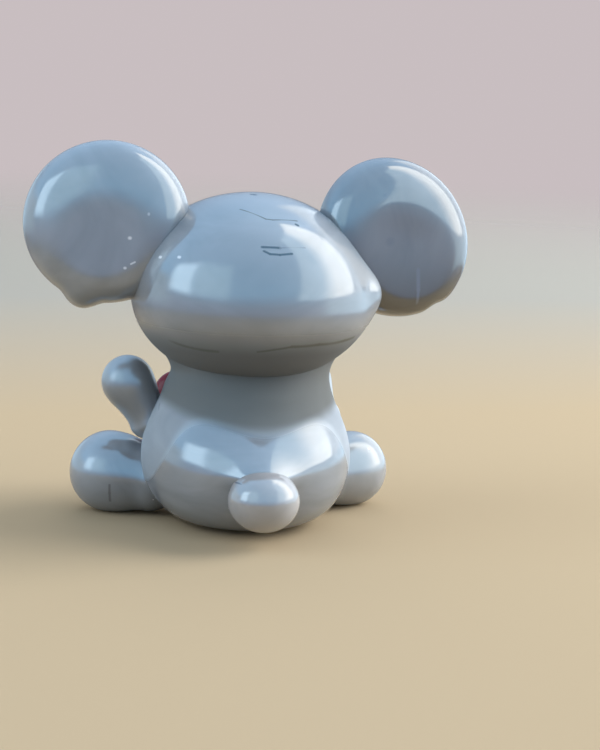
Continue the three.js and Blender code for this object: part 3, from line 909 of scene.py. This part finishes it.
EYE_RADIUS = 0.95 * MM
EYE_HALF_DEPTH = 0.6 * MM
EYE_SPACING = 7.4 * MM
EYE_RISE = 1.45 * MM
GLINT_RADIUS = 0.32 * MM
GLINT_OFFSET = 0.35 * MM
WHITE_DARK = (0.72, 0.72, 0.70, 1.0)
WHITE_LIGHT = (0.82, 0.82, 0.80, 1.0)
WHITE_GLASS = soft_glass("white_glass", WHITE_DARK, WHITE_LIGHT, winding=(600.0, 600.0, 600.0), dust=0.0)

for side_name, side in SIDES.items():
    place = on_face(side * EYE_SPACING / 2, EYE_RISE)
    eye_shape = dot_spot(place, EYE_RADIUS, EYE_RADIUS, EYE_HALF_DEPTH, fullness=0.0, seed=28 + side)
    eye = glass_skin(side_name + "_eye_glass", eye_shape, around=48, along=32)
    fuse_on(eye, side_name + "_eye", BLACK_GLASS)
    point, right, up, out = place
    share = GLINT_OFFSET / EYE_RADIUS
    dome = EYE_HALF_DEPTH * math.sqrt(1 - 2 * share * share)
    glint_place = (point + right * side * GLINT_OFFSET + up * GLINT_OFFSET + out * dome, right, up, out)
    glint_shape = dot_spot(
        glint_place, GLINT_RADIUS, GLINT_RADIUS, GLINT_RADIUS, fullness=0.0, seed=32 + side
    )
    glint = glass_skin(side_name + "_eye_glint_glass", glint_shape, around=32, along=24)
    fuse_on(glint, side_name + "_eye_glint", WHITE_GLASS)

# Studio
# A pale warm floor in a plain room, with a bright window card on the right and dimmer ones on the left.
# The camera stands behind the koala, a little to its left and a little above it.

CAMERA_AZIMUTH = math.radians(168)
CAMERA_ELEVATION = math.radians(9.5)
CAMERA_ROLL = math.radians(2)
CAMERA_DISTANCE = 150 * MM
PIXELS_PER_METRE = 14000.0
FOCAL_PIXELS = PIXELS_PER_METRE * CAMERA_DISTANCE
IMAGE_WIDTH = 600
IMAGE_HEIGHT = 750
ORIGIN_PIXEL = (243.5, 518.0)
SENSOR = 36.0

ahead = Vector((math.sin(CAMERA_AZIMUTH), -math.cos(CAMERA_AZIMUTH), 0.0))
sideways = Vector((-ahead.y, ahead.x, 0.0))
camera_back = ahead * math.cos(CAMERA_ELEVATION) + Vector((0.0, 0.0, math.sin(CAMERA_ELEVATION)))
level_up = camera_back.cross(sideways)
camera_right = sideways * math.cos(CAMERA_ROLL) + level_up * math.sin(CAMERA_ROLL)
camera_up = level_up * math.cos(CAMERA_ROLL) - sideways * math.sin(CAMERA_ROLL)
camera_data = bpy.data.cameras.new("camera")
camera_data.sensor_fit = "VERTICAL"
camera_data.sensor_height = SENSOR
camera_data.lens = FOCAL_PIXELS * SENSOR / IMAGE_HEIGHT
camera_data.clip_start = 0.005
camera_data.clip_end = 50.0
camera = bpy.data.objects.new("camera", camera_data)
bpy.context.scene.collection.objects.link(camera)
camera_place = camera_back * CAMERA_DISTANCE
camera_place += camera_right * (IMAGE_WIDTH / 2 - ORIGIN_PIXEL[0]) / PIXELS_PER_METRE
camera_place -= camera_up * (IMAGE_HEIGHT / 2 - ORIGIN_PIXEL[1]) / PIXELS_PER_METRE
turned = Matrix((camera_right, camera_up, camera_back)).transposed().to_4x4()
camera.matrix_world = Matrix.Translation(camera_place) @ turned
bpy.context.scene.camera = camera


# One shader or another, by a mask.
def either(nodes, mask, first, second):
    node = nodes.new("ShaderNodeMixShader")
    for socket, source in zip(node.inputs, (mask, first, second)):
        feed(socket, source)
    return node.outputs["Shader"]


# The floor is pale and warm. The mirrors in the glass see only the part of it near the koala,
# and the camera sees it pass into the backdrop further out.
FLOOR_NEAR = (0.380, 0.288, 0.180, 1.0)
FLOOR_FAR = (0.294, 0.272, 0.230, 1.0)
FLOOR_CHANGE = (-0.04, -0.12)
FLOOR_UNMIRRORED = (25 * MM, 80 * MM)
FLOOR_UNSEEN = (0.14, 0.36)
FLOOR_HALF = 4.0
FLOOR_CORNERS = [(-1, -1), (1, -1), (1, 1), (-1, 1)]
floor_mesh = bpy.data.meshes.new("floor")
floor_mesh.from_pydata([(FLOOR_HALF * x, FLOOR_HALF * y, 0.0) for x, y in FLOOR_CORNERS], [], [(0, 1, 2, 3)])
floor = bpy.data.objects.new("floor", floor_mesh)
bpy.context.scene.collection.objects.link(floor)
floor_finish = bpy.data.materials.new("floor")
floor_finish.use_nodes = True
floor_nodes = floor_finish.node_tree.nodes
floor_place = floor_nodes.new("ShaderNodeTexCoord").outputs["Object"]
floor_split = floor_nodes.new("ShaderNodeSeparateXYZ")
feed(floor_split.inputs["Vector"], floor_place)
floor_tint = spread(floor_nodes, floor_split.outputs["Y"], *FLOOR_CHANGE)
floor_colour = colour_ramp(floor_nodes, floor_tint, [(0.0, FLOOR_NEAR), (1.0, FLOOR_FAR)])
floor_shader = floor_nodes["Principled BSDF"]
floor_shader.inputs["Roughness"].default_value = 0.9
floor_shader.inputs["Specular IOR Level"].default_value = 0.0
feed(floor_shader.inputs["Base Color"], floor_colour)
floor_reach = vector_maths(floor_nodes, "LENGTH", floor_place).outputs["Value"]
floor_fade = eased(floor_nodes, floor_reach, *FLOOR_UNMIRRORED)
floor_end = eased(floor_nodes, floor_reach, *FLOOR_UNSEEN)
floor_ray = floor_nodes.new("ShaderNodeLightPath").outputs
floor_unmirrored = maths(floor_nodes, "MULTIPLY", floor_fade, floor_ray["Is Glossy Ray"])
floor_hidden = maths(floor_nodes, "MULTIPLY_ADD", floor_end, floor_ray["Is Camera Ray"], floor_unmirrored)
floor_clear = floor_nodes.new("ShaderNodeBsdfTransparent")
floor_seen = either(floor_nodes, floor_hidden, floor_shader.outputs["BSDF"], floor_clear.outputs["BSDF"])
feed(floor_nodes["Material Output"].inputs["Surface"], floor_seen)
floor_mesh.materials.append(floor_finish)

CARD_DISTANCE = 0.6
CARD_STEPS = 12


# A direction in the room: the turn is from the camera to the picture's right, the rise from the floor.
def room_direction(turn, rise):
    turn = math.radians(turn)
    rise = math.radians(rise)
    level = ahead * math.cos(turn) + sideways * math.sin(turn)
    return level * math.cos(rise) + Vector((0.0, 0.0, math.sin(rise)))


# A window card that the glass mirrors, with soft edges and a colour that changes from its left to its right.
# Its corners are turns and rises in the room: low left, low right, high right, high left.
# It gives no light to dull surfaces.
def window_card(name, corners, left_colour, right_colour, strength, softness, change=(0.2, 0.8)):
    card_skin = bmesh.new()
    to_room = card_skin.loops.layers.uv.new("pane")
    spots = {}
    for column in range(CARD_STEPS + 1):
        for row in range(CARD_STEPS + 1):
            u, v = column / CARD_STEPS, row / CARD_STEPS
            turn = mix(mix(corners[0][0], corners[1][0], u), mix(corners[3][0], corners[2][0], u), v)
            rise = mix(mix(corners[0][1], corners[1][1], u), mix(corners[3][1], corners[2][1], u), v)
            spots[column, row] = card_skin.verts.new(CARD_DISTANCE * room_direction(turn, rise))
    for column in range(CARD_STEPS):
        for row in range(CARD_STEPS):
            ring = [(column, row), (column + 1, row), (column + 1, row + 1), (column, row + 1)]
            pane = card_skin.faces.new([spots[place] for place in ring])
            for loop, place in zip(pane.loops, ring):
                loop[to_room].uv = (place[0] / CARD_STEPS, place[1] / CARD_STEPS)
    mesh = bpy.data.meshes.new(name)
    card_skin.to_mesh(mesh)
    card_skin.free()
    card = bpy.data.objects.new(name, mesh)
    bpy.context.scene.collection.objects.link(card)
    card.visible_camera = False
    card.visible_diffuse = False
    card.visible_shadow = False
    glow = bpy.data.materials.new(name)
    glow.use_nodes = True
    nodes = glow.node_tree.nodes
    nodes.clear()
    split = nodes.new("ShaderNodeSeparateXYZ")
    feed(split.inputs["Vector"], nodes.new("ShaderNodeTexCoord").outputs["UV"])
    masks = []
    for axis, soft in zip("XY", softness):
        from_edge = maths(nodes, "PINGPONG", split.outputs[axis], 0.5)
        masks.append(eased(nodes, from_edge, 0.0, soft))
    emission = nodes.new("ShaderNodeEmission")
    emission.inputs["Strength"].default_value = strength
    stops = [(change[0], left_colour), (change[1], right_colour)]
    feed(emission.inputs["Color"], colour_ramp(nodes, split.outputs["X"], stops))
    clear = nodes.new("ShaderNodeBsdfTransparent")
    mask = maths(nodes, "MULTIPLY", *masks)
    glowing = either(nodes, mask, clear.outputs["BSDF"], emission.outputs["Emission"])
    feed(nodes.new("ShaderNodeOutputMaterial").inputs["Surface"], glowing)
    mesh.materials.append(glow)


PANE_BLUE = (0.52, 0.78, 1.0, 1.0)
PANE_SKY = (0.40, 0.73, 1.0, 1.0)
PANE_PALE = (0.36, 0.55, 0.71, 1.0)
PANE_WHITE = (0.92, 0.98, 1.0, 1.0)
WALL_BLUE = (0.55, 0.80, 1.0, 1.0)
WALL_GREY = (0.75, 0.88, 1.0, 1.0)
window_card(
    "right_window", [(40, 5), (118, 3), (138, 72), (66, 72)], PANE_PALE, PANE_WHITE,
    strength=4.5, softness=(0.10, 0.06), change=(0.36, 0.62),
)
window_card(
    "left_window", [(-86, 3), (-46, 3), (-48, 49), (-84, 34)], PANE_BLUE, PANE_BLUE,
    strength=5.2, softness=(0.30, 0.22),
)
window_card(
    "left_side_pane", [(-58, 3), (-9, 3), (-10, 51), (-60, 49)], PANE_SKY, PANE_SKY,
    strength=2.9, softness=(0.24, 0.24),
)
window_card(
    "right_wall", [(66, -13), (166, -13), (166, 8), (66, 8)], WALL_BLUE, WALL_BLUE,
    strength=2.1, softness=(0.15, 0.30),
)
window_card(
    "right_far_wall", [(114, -8), (170, -8), (170, 52), (118, 52)], WALL_GREY, WALL_GREY,
    strength=2.1, softness=(0.1, 0.2),
)
window_card(
    "left_wall", [(-165, -12), (-70, -12), (-70, 24), (-165, 24)], WALL_BLUE, WALL_BLUE,
    strength=1.45, softness=(0.2, 0.3),
)
LAMP_DISTANCE = 0.45


# A soft lamp in the room that looks at the koala.
def soft_lamp(name, turn, rise, size, watts, colour):
    lamp_data = bpy.data.lights.new(name, "AREA")
    lamp_data.size = size
    lamp_data.energy = watts
    lamp_data.color = colour
    lamp = bpy.data.objects.new(name, lamp_data)
    bpy.context.scene.collection.objects.link(lamp)
    lamp.location = LAMP_DISTANCE * room_direction(turn, rise)
    lamp.rotation_euler = lamp.location.to_track_quat("Z", "Y").to_euler()
    lamp.visible_camera = False
    lamp.visible_glossy = False


soft_lamp("key_lamp", turn=108, rise=27, size=0.30, watts=3.8, colour=(0.95, 0.99, 1.04))
soft_lamp("low_lamp", turn=84, rise=4, size=0.30, watts=0.9, colour=(1.0, 1.0, 0.98))
soft_lamp("fill_lamp", turn=-72, rise=25, size=0.40, watts=1.2, colour=(0.80, 0.92, 1.04))
soft_lamp("front_lamp", turn=175, rise=40, size=0.40, watts=0.6, colour=(1.0, 0.98, 0.96))

# The room gives dull surfaces a sky light that is weaker near the floor, and the camera a pale backdrop.
# The mirrors in the glass see a sky that gets brighter upwards.
# Their stops go from straight down to straight up, and straight ahead of the camera the sky is duller.
BACKDROP = (0.58, 0.515, 0.53, 1.0)
BEHIND_FULL = 0.8
LIGHT_STOPS = [
    (0.45, (0.34, 0.38, 0.44, 1.0)),
    (0.70, (0.55, 0.68, 0.86, 1.0)),
    (1.00, (0.74, 0.92, 1.15, 1.0)),
]
SKY_STOPS = [
    (0.00, (0.20, 0.19, 0.16, 1.0)),
    (0.29, (0.26, 0.25, 0.23, 1.0)),
    (0.44, (0.46, 0.64, 1.00, 1.0)),
    (0.50, (0.46, 0.80, 1.25, 1.0)),
    (0.55, (0.50, 1.08, 1.78, 1.0)),
    (0.62, (0.66, 1.54, 2.45, 1.0)),
    (0.85, (0.66, 1.42, 2.24, 1.0)),
    (1.00, (0.74, 1.42, 2.18, 1.0)),
]
BEHIND_STOPS = [
    (0.29, (0.23, 0.21, 0.20, 1.0)),
    (0.50, (0.25, 0.23, 0.23, 1.0)),
    (0.85, (0.70, 1.20, 1.80, 1.0)),
    (1.00, (0.74, 1.42, 2.18, 1.0)),
]
world = bpy.data.worlds.new("room")
bpy.context.scene.world = world
world.use_nodes = True
room_nodes = world.node_tree.nodes
room_nodes.clear()
looking = room_nodes.new("ShaderNodeTexCoord").outputs["Generated"]
looking_split = room_nodes.new("ShaderNodeSeparateXYZ")
feed(looking_split.inputs["Vector"], looking)
upward = spread(room_nodes, looking_split.outputs["Z"], -1.0, 1.0)
behind = vector_maths(room_nodes, "DOT_PRODUCT", looking, -ahead).outputs["Value"]
light_colour, sky_colour, behind_colour = [
    colour_ramp(room_nodes, upward, stops) for stops in (LIGHT_STOPS, SKY_STOPS, BEHIND_STOPS)
]
behind_share = eased(room_nodes, behind, 0.0, BEHIND_FULL)
room_sides = []
for room_colour in (light_colour, laid_over(room_nodes, behind_share, sky_colour, behind_colour), BACKDROP):
    room_side = room_nodes.new("ShaderNodeBackground")
    feed(room_side.inputs["Color"], room_colour)
    room_sides.append(room_side.outputs["Background"])
dull_room, mirrored_room, seen_room = room_sides
ray = room_nodes.new("ShaderNodeLightPath").outputs
unseen_room = either(room_nodes, ray["Is Glossy Ray"], dull_room, mirrored_room)
room = either(room_nodes, ray["Is Camera Ray"], unseen_room, seen_room)
feed(room_nodes.new("ShaderNodeOutputWorld").inputs["Surface"], room)

bpy.context.scene.view_settings.view_transform = "Standard"
